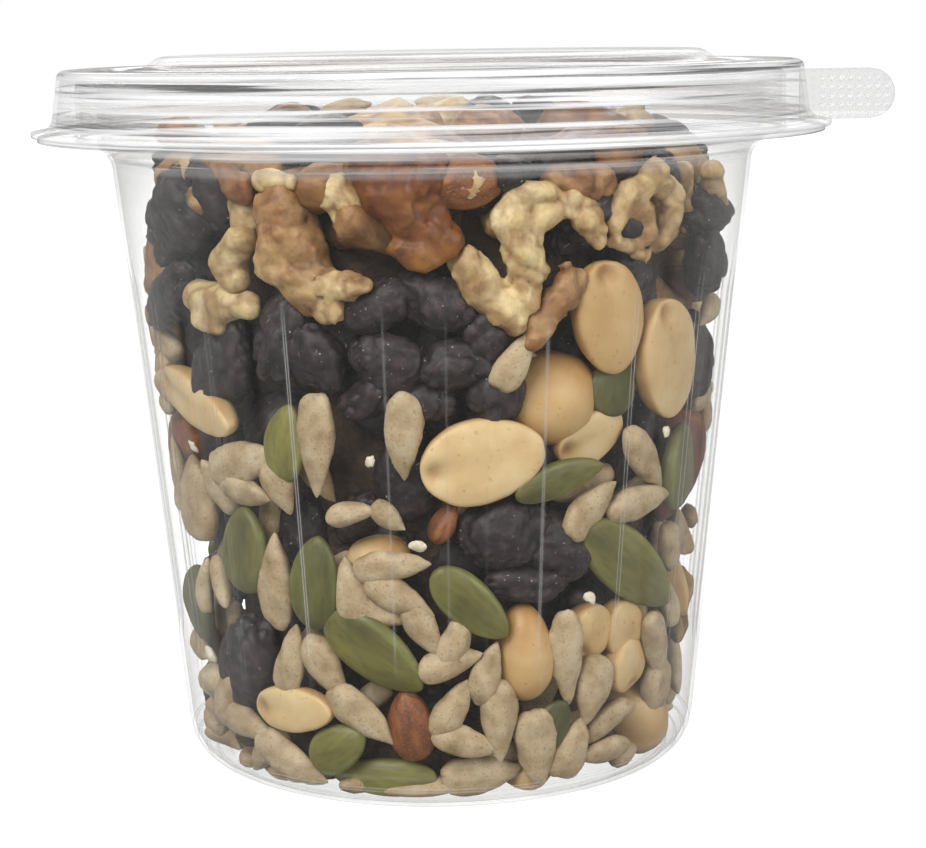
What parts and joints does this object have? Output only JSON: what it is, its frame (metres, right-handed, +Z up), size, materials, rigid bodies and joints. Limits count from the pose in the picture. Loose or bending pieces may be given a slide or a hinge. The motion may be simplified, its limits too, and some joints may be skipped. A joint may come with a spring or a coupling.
{
  "type": "lidded cup of trail mix",
  "caption": "Clear fluted plastic cup filled with nuts, raisins and seeds, closed by a clear push-fit lid with a raised disc, a flared lip and a side pull tab.",
  "frame": {"origin": "centre of the cup's flat base, on the surface that it stands on", "axes": "+Z up through the lid, +X towards the pull tab, the shown side faces -Y"},
  "size_m": [0.1284, 0.1182, 0.1055],
  "materials": {
    "clear_plastic": "clear glossy thermoformed sheet",
    "trail_mix": "dry mixed nuts, raisins and seeds"
  },
  "bodies": {
    "root": {"cup": "clear_plastic", "lid": "clear_plastic", "trail_mix": "trail_mix"}
  },
  "joints": []
}
